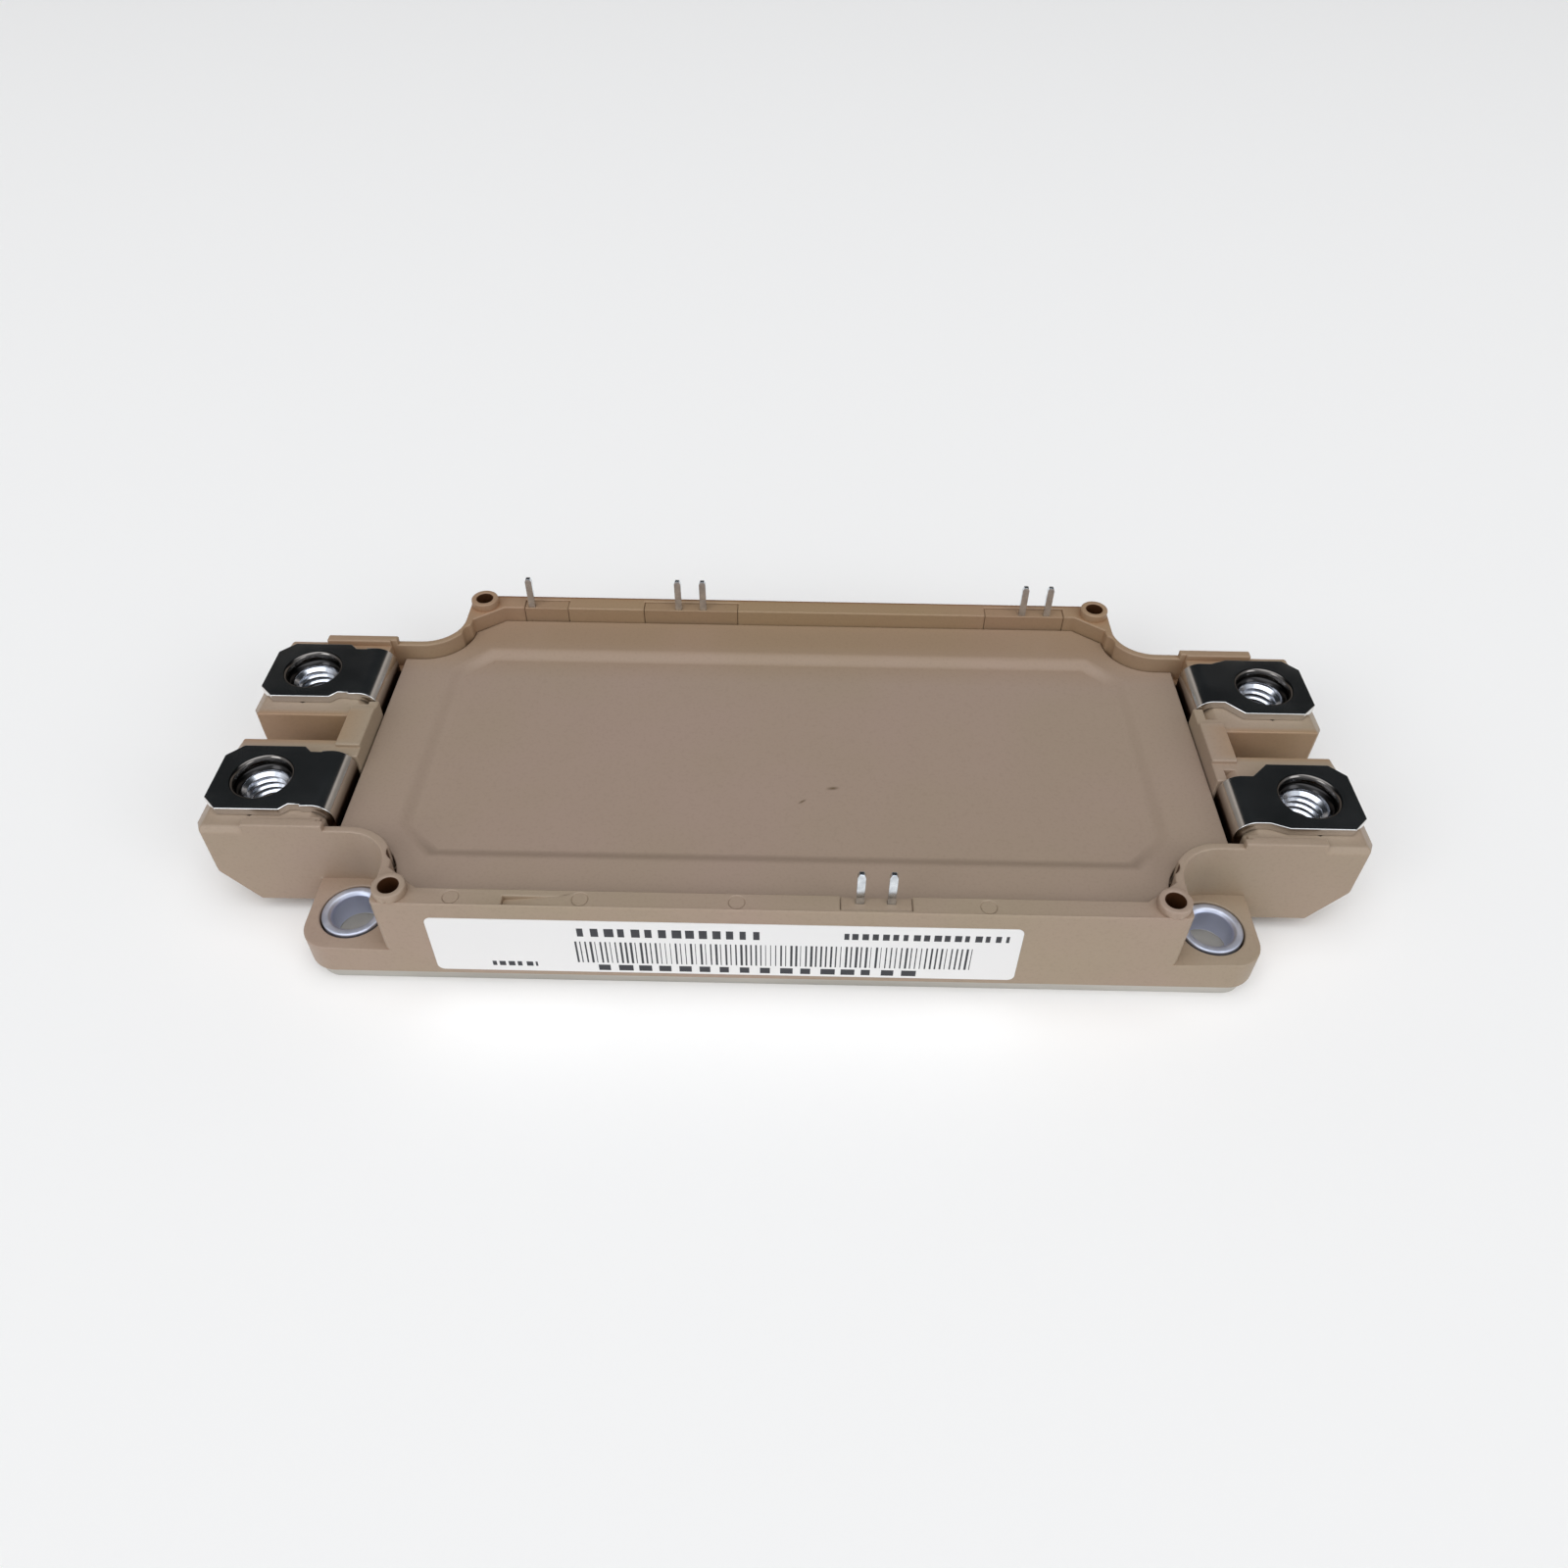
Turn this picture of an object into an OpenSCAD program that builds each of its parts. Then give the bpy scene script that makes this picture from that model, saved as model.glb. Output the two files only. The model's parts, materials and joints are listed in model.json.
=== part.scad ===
// Dual transistor power module, 152 x 62 mm, with screw terminals at both ends.
// Millimetres. X runs along the length, Y towards the back row of pins, Z up.
// The origin is the centre of the face that sits on the heat sink.

/* [Overall] */
// Length over the terminal blocks
overall_l = 152; // [150:1:190]
// Width over the mounting lugs
overall_w = 62; // [60:0.5:76]

/* [Mounting] */
// Distance from the module's end to the mounting screws
mount_inset = 21; // [20.5:0.1:22]
// Diameter of the mounting screw holes
mount_d = 5.5; // [4.5:0.1:6]
// Outside diameter of the metal collars in the lugs
collar_d = 8; // [7.5:0.1:9.6]
// Height of a collar above its lug
collar_proud = 0.15; // [0:0.05:0.5]
// Distance from a mounting screw to the long side of its lug
lug_side = 6; // [5.5:0.1:6.5]
// Distance from a mounting screw to the end of its lug
lug_end = 5.7; // [5.5:0.1:6.5]
// Radius of a lug's corner
lug_corner = 4; // [3:0.1:5]
// Radius of the open pocket round each mounting screw
pocket_r = 5.5; // [5:0.1:6]
// Height of the tops of the lugs
lug_z = 6.8; // [5:0.1:9]

/* [Base plate] */
// Thickness of the base plate
base_t = 3; // [2.5:0.1:3.6]
// Height of the housing's lower edge above the heat sink
skirt_z = 2.2; // [1.5:0.1:2.4]
// Thickness of the skirt round the base plate
skirt_t = 0.8; // [0.6:0.1:1.2]
// Gap between the base plate and the skirt
base_gap = 0.1; // [0.05:0.05:0.3]

/* [Housing] */
// Thickness of the long walls above the lid
wall_t = 2.8; // [2.6:0.1:3.6]
// Thickness of the curved walls round the screw pockets
curve_wall_t = 1.1; // [0.9:0.1:1.4]
// Thickness of the end walls behind the terminal legs
end_wall_t = 2; // [1.8:0.05:2.4]
// Radius of the long walls' upright corners
wall_corner_r = 1; // [0.6:0.1:2]
// Width of the ledge that carries the lid
ledge_w = 1.2; // [0.8:0.1:1.5]
// Height of the shelf that the terminals' feet stand on
shelf_z = 5.5; // [5.2:0.1:6]
// Width of the open gap between the two terminal blocks of one end
block_gap = 5; // [4:0.2:6]
// Height of the raised rails beside the terminals, above the seats
rail_h = 0.9; // [0.3:0.1:1.1]
// Width of the raised rails
rail_w = 1.4; // [1:0.1:1.8]
// Height of the land between the two terminals, above the seats
land_h = 0.5; // [0.2:0.1:1]

/* [Board bosses] */
// Distance from the mounting screws to the circuit-board screws, along the length
boss_inset = 7.75; // [7.5:0.05:9]
// Outside diameter of the bosses
boss_d = 4.1; // [3.6:0.1:4.4]
// Diameter of the bosses' screw holes
boss_hole_d = 2.5; // [2:0.1:2.8]
// Depth of the bosses' screw holes
boss_hole_depth = 10; // [6:0.5:12]

/* [Lid] */
// Height of the lid's rim above the heat sink
lid_z = 13.4; // [12.5:0.1:14]
// Thickness of the lid
lid_t = 1.5; // [1:0.1:1.8]
// Gap between the lid and the housing
lid_gap = 0.15; // [0.05:0.05:0.3]
// Distance from the module's end to the lid
lid_inset = 18.4; // [18:0.1:18.6]
// Depth of the sunk field in the lid
field_depth = 0.9; // [0.4:0.1:1.2]
// Run of the sloped border of the sunk field
field_slope = 2.4; // [1:0.1:3]
// Distance from the lid's long edge to the sunk field
field_margin_y = 6.7; // [4:0.1:9]
// Distance from the lid's short edge to the sunk field
field_margin_x = 6.8; // [5:0.1:10]
// Size of the cut corners of the sunk field
field_corner = 5.5; // [3:0.1:8]

/* [Main terminals] */
// Height of the terminals' top faces above the heat sink
terminal_z = 17; // [16.5:0.1:20]
// Thickness of the terminals' sheet
terminal_t = 1.2; // [1:0.1:1.5]
// Distance from the module's end to the terminal screws
terminal_inset = 7.5; // [7:0.1:8]
// Width of a terminal
terminal_w = 11.8; // [11:0.1:12.4]
// Overhang of a terminal beyond its screw
terminal_end = 6.2; // [5.5:0.1:7]
// Diameter of the hole in a terminal
terminal_hole_d = 7.4; // [6.6:0.1:8]
// Chamfer of a terminal's outer corners
terminal_chamfer = 2; // [1:0.1:3]
// Width of the narrow necks of the output terminals
neck_w = 8.6; // [6:0.1:9]
// Shift of the narrow necks towards the long walls
neck_shift = 0.7; // [0:0.1:1.2]
// Width of the supply terminals' legs
supply_leg_w = 10.3; // [9:0.1:11.4]
// Depth of the relief notches in the supply terminals
notch_depth = 1; // [0.5:0.1:1.4]
// Inside radius of a terminal's bend from its plate to its leg
bend_r = 1.4; // [0.5:0.1:1.6]
// Reach of a terminal's foot from its leg towards the middle
foot_reach = 6; // [5.8:0.1:6.6]

/* [Terminal nuts] */
// Width of the captive nuts across their flats
nut_flats = 10; // [9:0.1:10.5]
// Height of the captive nuts
nut_h = 5; // [4:0.1:6]
// Diameter of the nuts' threaded bores
nut_bore_d = 6; // [5:0.1:6.4]
// Room round a nut in its pocket
nut_gap = 0.1; // [0.05:0.05:0.3]
// Diameter of the screw wells under the nuts
well_d = 7; // [6.4:0.1:8]
// Depth of the screw wells under the nuts
well_depth = 4.5; // [2:0.1:5.5]

/* [Control pins] */
// Grid on which the control pins stand
pin_grid = 3.81; // [3.75:0.01:3.85]
// Distance from the lugs' side to the middle of the pins
pin_inset = 2.02; // [1.8:0.02:2.2]
// Height of the pins' tips above the heat sink
pin_z = 20.8; // [19:0.1:24]
// Width of a pin
pin_w = 1; // [0.6:0.05:1.2]
// Thickness of a pin
pin_t = 0.64; // [0.5:0.02:0.8]
// Length of the pins' tapered tips
pin_tip = 0.5; // [0.3:0.1:2]
// Recess of the pin carriers behind the inner wall face
carrier_recess = 0.15; // [0.05:0.05:0.3]
// Skin of the long wall outside the pin carriers
carrier_skin = 0.7; // [0.5:0.05:0.9]
// Length of the carriers' toes in from the wall
carrier_toe = 2.2; // [1.8:0.1:2.6]
// Height of the carriers' undersides above the heat sink
carrier_z = 4.4; // [4.2:0.1:4.8]
// Gap between a carrier and its slot
carrier_gap = 0.05; // [0.03:0.01:0.1]
// Depth of a carrier's top below the top of the wall
carrier_sink = 0.2; // [0.05:0.05:0.5]

/* [Label] */
// Length of the label
label_l = 72.8; // [50:0.1:78]
// Height of the label
label_h = 10.2; // [6:0.1:11]
// Thickness of the label
label_t = 0.1; // [0.05:0.01:0.2]
// Distance of the label's middle from the module's middle
label_x = -6.9; // [-7.5:0.1:3]
// Height of the label's lower edge above the heat sink
label_z = 3.2; // [2.6:0.1:4.5]
// Radius of the label's corners
label_r = 0.9; // [0.5:0.1:2]

/* [Circuit inside] */
// Distance from the carriers' toes to the ceramic substrates
substrate_room_y = 3; // [2:0.1:4]
// Distance from the curved walls to the corners of the ceramic substrates
substrate_room_x = 0.4; // [0.2:0.1:1]
// Gap between the two substrates
substrate_gap = 4; // [3:0.5:6]
// Thickness of the ceramic
ceramic_t = 0.6; // [0.3:0.05:0.8]
// Thickness of the copper layers on both its faces
copper_t = 0.3; // [0.2:0.05:0.35]
// Bare ceramic between the copper fields and along the edges
pad_split = 1; // [0.6:0.1:1.5]
// Width of the copper strip under the control wires
control_pad_w = 3.5; // [2.5:0.1:4]
// Side of a transistor chip
transistor_w = 11; // [9:0.1:12]
// Side of a diode chip
diode_w = 8; // [6:0.1:9]
// Thickness of the chips
chip_t = 0.25; // [0.15:0.05:0.3]
// Diameter of the bond wires
wire_d = 0.4; // [0.3:0.05:0.5]
// Distance between neighbouring bond wires
wire_pitch = 2.4; // [1.6:0.1:2.6]
// Height of the gel over the circuit, above the heat sink
gel_z = 10.5; // [10.4:0.1:10.8]

/* [Hidden] */
$fn = 64;
eps = 0.01;
// How far a cut runs past the faces that it opens
past = 1;
front = -1;
back = 1;

// Footprint, screw places and base plate
block_x = overall_l / 2;
lug_y = overall_w / 2;
mount_x = block_x - mount_inset;
mount_y = lug_y - lug_side;
lug_x = mount_x + lug_end;
base_l = 2 * (lug_x - skirt_t);
base_w = overall_w - 2 * skirt_t;
base_corner = lug_corner - skirt_t;
collar_gap = 0.25;
collar_rim = 0.4;
collar_edge = 0.15;

// Walls: the long walls stand flush with the sides of the lugs
body_x = mount_x - pocket_r;
body_y = lug_y;
open_y = body_y - wall_t;
open_r = pocket_r + curve_wall_t;
cavity_y = open_y - ledge_w;
seat_z = terminal_z - terminal_t;
lid_x = block_x - lid_inset;
lid_seat_z = lid_z - lid_t;
boss_x = mount_x - boss_inset;
boss_y = lug_y - boss_d / 2;
field_steps = 6;
boss_turn = 53;
boss_web = 0.35;
groove_r = 1.7;
groove_depth = 0.5;
groove_turn = 201;

// Terminals: the legs stand in a slot between the lid and the end walls
leg_gap = 0.15;
leg_slot = 0.4;
leg_in_x = lid_x + leg_slot;
leg_out_x = leg_in_x + terminal_t;
end_wall_x = leg_out_x + end_wall_t;
bend_out_r = bend_r + terminal_t;
foot_bend_r = 0.5;
foot_bend_out_r = foot_bend_r + terminal_t;
foot_x = leg_in_x - foot_reach;
shelf_edge = 0.8;
shelf_x = foot_x - shelf_edge;
terminal_x = block_x - terminal_inset;
terminal_y = (block_gap / 2 + mount_y - pocket_r) / 2;
plate_reach = 6.4;
neck_in_x = terminal_x - plate_reach;
shoulder_l = 2.3;
notch_l = 2.4;

// Lands that fill the slot between the two legs of one end
land_in_x = lid_x + lid_gap;
supply_land_y = terminal_y - supply_leg_w / 2 - leg_gap;
output_land_y = terminal_y + neck_shift - neck_w / 2 - leg_gap;

// Terminal blocks: chamfered plan, bevelled side view and raised rails
block_y = mount_y - pocket_r;
block_corner_x = 1.9;
block_corner_y = 3;
block_top_bevel = 2;
block_side_bevel = 0.7;
block_low_x = 6;
block_low_z = 7.9;
rail_start = 0.7;
rail_past_screw = 0.2;
rail_in_x = lid_x + rail_start;
rail_out_x = terminal_x + rail_past_screw;

// Pin carriers: left edge, right edge and wall
carrier_front = [7.2, 15.8, front];
carrier_back_left = [-41.1, -34.4, back];
carrier_back_middle = [-22.5, -8, back];
carrier_back_right = [30.5, 42.6, back];
CARRIERS = [carrier_front, carrier_back_left, carrier_back_middle, carrier_back_right];
carrier_out_y = body_y - carrier_skin;
carrier_top_z = seat_z - carrier_sink;
toe_y = cavity_y - carrier_toe;

// Pins: place on the grid, counted from the module's middle, and wall
gate_front = [2, front];
emitter_front = [3, front];
collector = [-11, back];
gate_back = [-5, back];
emitter_back = [-4, back];
sensor_inner = [9, back];
sensor_outer = [10, back];
PINS = [gate_front, emitter_front, collector, gate_back, emitter_back, sensor_inner, sensor_outer];
pin_y = lug_y - pin_inset;
pin_foot_inset = 0.3;
pin_foot_y = toe_y + pin_foot_inset;
pin_tip_w = 0.62;

// Moulding marks on the front wall's top: ejector rounds, and a ramp that rises to the right
ejector_x = [-39.8, -24.2, -5.3, 25];
ejector_d = 1.9;
mark_depth = 0.1;
ramp_low_x = -33.6;
ramp_high_x = -27;
ramp_depth = 0.8;
ramp_w = 1.2;
ramp_edge = 0.5;

// Circuit stack above the base plate
ceramic_z = base_t + copper_t;
copper_top_z = ceramic_z + ceramic_t;
chip_z = copper_top_z + copper_t;
chip_top_z = chip_z + chip_t;
substrate_w = 2 * (toe_y - substrate_room_y);
corner_reach = open_r + ledge_w + substrate_room_x;
corner_run_y = mount_y - substrate_w / 2;
substrate_out_x = mount_x - sqrt(corner_reach * corner_reach - corner_run_y * corner_run_y);
substrate_l = substrate_out_x - substrate_gap / 2;
substrate_x = (substrate_gap + substrate_l) / 2;
pad_x = substrate_l / 2 - pad_split;
pad_y = substrate_w / 2 - pad_split;
chip_edge = 1;
chip_pitch = 2 * pad_x / 3;
control_low_y = pad_y - control_pad_w;
collector_high_y = control_low_y - pad_split;
transistor_y = collector_high_y - chip_edge - transistor_w / 2;
diode_y = transistor_y - transistor_w / 2 - chip_edge - diode_w / 2;
collector_low_y = diode_y - diode_w / 2 - chip_edge;
emitter_high_y = collector_low_y - pad_split;
sensor_pad_w = 3.5;
sensor_pad_l = 4;
sensor_size = [3.2, 1.6, 0.8];

// Distance of the wires' bonds from the edge or the middle of what they are bonded to
foot_bond = 0.6;
field_bond = 0.8;
diode_bond = 1;
emitter_bond = 2;

// Draws its children in all four quarters of the plan
module each_corner() {
  for (side_x = [0, 1], side_y = [0, 1])
    mirror([side_x, 0, 0])
      mirror([0, side_y, 0])
        children();
}

// Draws its children, made for the back wall, on the given wall
module on_wall(wall) {
  mirror([0, wall == front ? 1 : 0, 0])
    children();
}

// What a round corner takes off a square one, about the arc's centre
module corner_waste(radius) {
  difference() {
    square(2 * radius);
    circle(radius);
  }
}

// Rectangle with round corners, centred
module rounded_plan(length, width, radius) {
  difference() {
    square([length, width], center = true);
    each_corner()
      translate([length / 2 - radius, width / 2 - radius])
        corner_waste(radius);
  }
}

// What a hollow corner takes off the plan, about its mounting screw
module corner_bite(arc_r) {
  intersection() {
    circle(arc_r);
    translate([-2 * arc_r, -2 * arc_r])
      square(2 * arc_r);
  }
  translate([0, -arc_r])
    square(overall_w);
  translate([-arc_r, 0])
    square(overall_w);
}

// Plan of the body: a wide middle and narrow ends, joined by hollow arcs about the mounting screws
module waisted_plan(arc_r, half_w, half_l) {
  difference() {
    square([2 * half_l, 2 * half_w], center = true);
    each_corner()
      translate([mount_x, mount_y])
        corner_bite(arc_r);
  }
}

// Waisted plan of the inside, with its corners cut off in front of the board bosses
module inner_plan(inset, half_l) {
  cut = boss_d / 2 + boss_web + inset;
  difference() {
    waisted_plan(open_r + inset, open_y - inset, half_l);
    each_corner()
      translate([boss_x, boss_y])
        rotate(boss_turn)
          translate([-cut, -2 * boss_d])
            square(4 * boss_d);
  }
}

// Extrudes a profile drawn in X and Z along Y, from y0 to y1
module along_y(y0, y1) {
  translate([0, y1, 0])
    rotate([90, 0, 0])
      linear_extrude(y1 - y0)
        children();
}

// Extrudes a profile drawn in Y and Z along X, from x0 to x1
module along_x(x0, x1) {
  translate([x0, 0, 0])
    rotate([90, 0, 90])
      linear_extrude(x1 - x0)
        children();
}

// Extrudes a plan from z0 to z1
module between(z0, z1) {
  translate([0, 0, z0])
    linear_extrude(z1 - z0)
      children();
}

// One terminal block at the right end, towards the back
module terminal_block() {
  intersection() {
    between(skirt_z, seat_z)
      polygon([
        [rail_in_x, block_gap / 2], [block_x - block_corner_x, block_gap / 2],
        [block_x, block_gap / 2 + block_corner_y], [block_x, block_y - block_corner_y],
        [block_x - block_corner_x, block_y], [rail_in_x, block_y]
      ]);
    along_y(0, block_y + past)
      polygon([
        [rail_in_x - past, skirt_z], [block_x - block_low_x, skirt_z],
        [block_x, skirt_z + block_low_z], [block_x, seat_z - block_top_bevel],
        [block_x - block_top_bevel, seat_z], [rail_in_x - past, seat_z]
      ]);
    along_x(rail_in_x, block_x)
      polygon([
        [0, skirt_z], [block_y, skirt_z], [block_y, seat_z - block_side_bevel],
        [block_y - block_side_bevel, seat_z], [0, seat_z]
      ]);
  }
}

// Outer form of the housing without its openings
module housing_solid() {
  between(skirt_z, lug_z)
    difference() {
      rounded_plan(2 * lug_x, overall_w, lug_corner);
      square([2 * (body_x - wall_corner_r), overall_w + past], center = true);
    }
  between(skirt_z, seat_z)
    difference() {
      waisted_plan(pocket_r, body_y, end_wall_x);
      each_corner()
        translate([body_x - wall_corner_r, body_y - wall_corner_r])
          corner_waste(wall_corner_r);
    }
  each_corner() {
    terminal_block();
    translate([rail_in_x, block_y - rail_w, seat_z - block_side_bevel])
      cube([rail_out_x - rail_in_x, rail_w, block_side_bevel + rail_h]);
    translate([boss_x, boss_y, terminal_z - boss_hole_depth])
      cylinder(h = boss_hole_depth, d = boss_d);
  }
  for (side = [0, 1])
    mirror([side, 0, 0])
      translate([land_in_x, -block_gap / 2 - rail_w, seat_z - eps])
        cube([end_wall_x - land_in_x, block_gap + 2 * rail_w, land_h + eps]);
}

// Inner plan out to the end walls, without the lands between the legs
module room_plan(inset) {
  land_l = leg_out_x - land_in_x + eps;
  difference() {
    inner_plan(inset, leg_out_x);
    translate([-land_in_x - land_l, -supply_land_y])
      square([land_l, 2 * supply_land_y]);
    translate([land_in_x, -output_land_y])
      square([land_l, 2 * output_land_y]);
  }
}

// Room round the circuit, from the base plate up to a given height
module circuit_room(top_z) {
  between(base_t, shelf_z)
    intersection() {
      inner_plan(ledge_w, leg_out_x);
      square([2 * shelf_x, overall_w], center = true);
    }
  between(shelf_z, top_z)
    room_plan(ledge_w);
}

// Chamfer of the end wall's inner edge, which clears the bend of a terminal
module terminal_relief() {
  bend_clearance = 0.1;
  relief = bend_r + bend_clearance;
  along_y(terminal_y - terminal_w / 2, terminal_y + terminal_w / 2)
    polygon([
      [leg_out_x - eps, seat_z - relief], [leg_out_x + relief, seat_z + eps],
      [leg_out_x - eps, seat_z + eps]
    ]);
}

// Slot of one pin carrier in the long wall, open to the inside and to the top
module carrier_slot(x0, x1) {
  translate([x0 - carrier_gap, cavity_y - eps, carrier_z])
    cube([x1 - x0 + 2 * carrier_gap, carrier_out_y + carrier_gap - cavity_y + eps, terminal_z]);
}

// Ejector rounds and the ramp in the top of a long wall
module wall_marks() {
  mark_y = (open_y + body_y) / 2;
  ramp_y = body_y - ramp_edge;
  for (x = ejector_x)
    translate([x, mark_y, seat_z - mark_depth])
      cylinder(h = mark_depth + past, d = ejector_d);
  along_y(ramp_y - ramp_w, ramp_y)
    polygon([
      [ramp_low_x, seat_z - ramp_depth], [ramp_high_x, seat_z],
      [ramp_high_x, seat_z + past], [ramp_low_x, seat_z + past]
    ]);
}

// Upright groove in a hollow corner's wall, which gives a tool room to lift the lid
module lid_groove() {
  translate([mount_x, mount_y, lid_seat_z])
    rotate(groove_turn)
      translate([open_r + groove_r - groove_depth, 0, 0])
        cylinder(h = terminal_z - lid_seat_z, r = groove_r);
}

// Moulded plastic frame that holds every other piece
module housing_frame() {
  color("#98836f")
    difference() {
      housing_solid();
      between(skirt_z - past, base_t)
        rounded_plan(base_l + 2 * base_gap, base_w + 2 * base_gap, base_corner + base_gap);
      circuit_room(lid_seat_z + eps);
      between(lid_seat_z, terminal_z + past)
        room_plan(0);
      each_corner() {
        translate([mount_x, mount_y, skirt_z])
          cylinder(h = terminal_z, d = collar_d + 2 * collar_gap);
        translate([boss_x, boss_y, terminal_z - boss_hole_depth])
          cylinder(h = boss_hole_depth + past, d = boss_hole_d);
        translate([terminal_x, terminal_y, seat_z - nut_h])
          nut_prism(nut_flats + 2 * nut_gap, nut_h + past);
        translate([terminal_x, terminal_y, seat_z - nut_h - well_depth])
          cylinder(h = well_depth + past, d = well_d);
        terminal_relief();
        lid_groove();
      }
      for (c = CARRIERS)
        on_wall(c[2])
          carrier_slot(c[0], c[1]);
      on_wall(front)
        wall_marks();
    }
}

// Plate of nickel-plated copper that carries the circuit and gives its heat to the heat sink
module base_plate() {
  color("#b9b6ae")
    linear_extrude(base_t)
      difference() {
        rounded_plan(base_l, base_w, base_corner);
        each_corner()
          translate([mount_x, mount_y])
            circle(d = mount_d);
      }
}

// Steel collar that takes the clamping force of one mounting screw
module collar() {
  collar_h = lug_z + collar_proud - base_t;
  in_r = mount_d / 2;
  out_r = collar_d / 2;
  color("#b4b8c2")
    translate([mount_x, mount_y, base_t])
      rotate_extrude()
        polygon([
          [in_r, 0], [out_r, 0], [out_r, collar_h - collar_edge],
          [out_r - collar_edge, collar_h], [in_r + collar_rim, collar_h],
          [in_r, collar_h - collar_rim]
        ]);
}

module collar_front_left() { mirror([1, 0, 0]) mirror([0, 1, 0]) collar(); }
module collar_front_right() { mirror([0, 1, 0]) collar(); }
module collar_back_left() { mirror([1, 0, 0]) collar(); }
module collar_back_right() { collar(); }

// Octagon of the lid's sunk field, at a given inset from its upper edge
module field_plan(inset) {
  half_x = lid_x - field_margin_x - inset;
  half_y = open_y - lid_gap - field_margin_y - inset;
  cut = field_corner - inset * (2 - sqrt(2));
  polygon([
    [half_x, half_y - cut], [half_x - cut, half_y], [cut - half_x, half_y], [-half_x, half_y - cut],
    [-half_x, cut - half_y], [cut - half_x, -half_y], [half_x - cut, -half_y], [half_x, cut - half_y]
  ]);
}

// Thin slice of the sunk field, at one step down its rounded border
module field_slice(step) {
  part = step / field_steps;
  depth = field_depth * (1 - cos(180 * part)) / 2;
  between(lid_z - depth, lid_z - depth + eps)
    field_plan(field_slope * part);
}

// Sunk field with its border that rounds over and out again, as a body to cut away
module field_pocket() {
  for (step = [1 : field_steps])
    hull() {
      field_slice(step - 1);
      field_slice(step);
    }
}

// Moulded lid with a sunk field
module lid() {
  wall_under_field = 0.6;
  color("#96836f")
    difference() {
      union() {
        between(lid_seat_z, lid_z)
          inner_plan(lid_gap, lid_x);
        between(lid_seat_z - field_depth, lid_z - eps)
          field_plan(-wall_under_field);
      }
      field_pocket();
    }
}

// Flat ring
module ring_plan(in_r, out_r) {
  difference() {
    circle(out_r);
    circle(in_r);
  }
}

// Side view of a terminal: top plate, leg and foot, with two round bends
module terminal_profile(plate_end) {
  top_x = leg_in_x + bend_out_r;
  top_z = terminal_z - bend_out_r;
  low_x = leg_out_x - foot_bend_out_r;
  low_z = shelf_z + foot_bend_out_r;
  translate([top_x, seat_z])
    square([plate_end - top_x, terminal_t]);
  translate([leg_in_x, low_z])
    square([terminal_t, top_z - low_z]);
  translate([foot_x, shelf_z])
    square([low_x - foot_x, terminal_t]);
  translate([top_x, top_z])
    intersection() {
      ring_plan(bend_r, bend_out_r);
      translate([-bend_out_r, 0])
        square(bend_out_r);
    }
  translate([low_x, low_z])
    intersection() {
      ring_plan(foot_bend_r, foot_bend_out_r);
      translate([0, -foot_bend_out_r])
        square(foot_bend_out_r);
    }
}

// Plate of a terminal, from the given inner outline to its chamfered end, with its hole
module terminal_plate(inner_outline) {
  hole_rim = 0.3;
  end_x = terminal_x + terminal_end;
  half_w = terminal_w / 2;
  difference() {
    translate([0, terminal_y, 0])
      between(seat_z, terminal_z)
        polygon(concat(inner_outline, [
          [end_x - terminal_chamfer, -half_w], [end_x, terminal_chamfer - half_w],
          [end_x, half_w - terminal_chamfer], [end_x - terminal_chamfer, half_w]
        ]));
    translate([terminal_x, terminal_y, seat_z - past])
      cylinder(h = terminal_t + 2 * past, d = terminal_hole_d);
    translate([terminal_x, terminal_y, terminal_z - hole_rim])
      cylinder(h = hole_rim + eps, d1 = terminal_hole_d, d2 = terminal_hole_d + 2 * hole_rim);
  }
}

// Supply terminal: a wide leg, parted from the plate by two small notches
module supply_terminal() {
  half_w = terminal_w / 2;
  notch_x = neck_in_x + notch_l;
  notch_y = half_w - notch_depth;
  color("#8d8b86") {
    terminal_plate([
      [notch_x, half_w], [notch_x - notch_depth, notch_y], [neck_in_x - eps, notch_y],
      [neck_in_x - eps, -notch_y], [notch_x - notch_depth, -notch_y], [notch_x, -half_w]
    ]);
    along_y(terminal_y - supply_leg_w / 2, terminal_y + supply_leg_w / 2)
      terminal_profile(neck_in_x);
  }
}

// Output terminal: a narrow neck, set towards the long wall, that widens to the plate
module output_terminal() {
  half_w = terminal_w / 2;
  neck_low = neck_shift - neck_w / 2;
  neck_high = neck_shift + neck_w / 2;
  color("#8d8b86") {
    terminal_plate([
      [neck_in_x + shoulder_l, half_w], [neck_in_x, neck_high], [neck_in_x - eps, neck_high],
      [neck_in_x - eps, neck_low], [neck_in_x, neck_low], [neck_in_x + shoulder_l, -half_w]
    ]);
    along_y(terminal_y + neck_low, terminal_y + neck_high)
      terminal_profile(neck_in_x);
  }
}

module supply_terminal_front() { mirror([1, 0, 0]) mirror([0, 1, 0]) supply_terminal(); }
module supply_terminal_back() { mirror([1, 0, 0]) supply_terminal(); }
module output_terminal_front() { mirror([0, 1, 0]) output_terminal(); }
module output_terminal_back() { output_terminal(); }

// Hexagonal prism with a given width across its flats
module nut_prism(flats, height) {
  rotate(30)
    cylinder(h = height, d = flats / cos(30), $fn = 6);
}

// Steel nuts that lie loose in their pockets under the terminals
module terminal_nuts() {
  countersink = 0.5;
  color("#c3c7cf")
    each_corner()
      translate([terminal_x, terminal_y, seat_z - nut_h])
        difference() {
          nut_prism(nut_flats, nut_h);
          translate([0, 0, -past])
            cylinder(h = nut_h + 2 * past, d = nut_bore_d);
          translate([0, 0, nut_h - countersink])
            cylinder(h = countersink + eps, d1 = nut_bore_d, d2 = nut_bore_d + 2 * countersink);
        }
}

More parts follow.
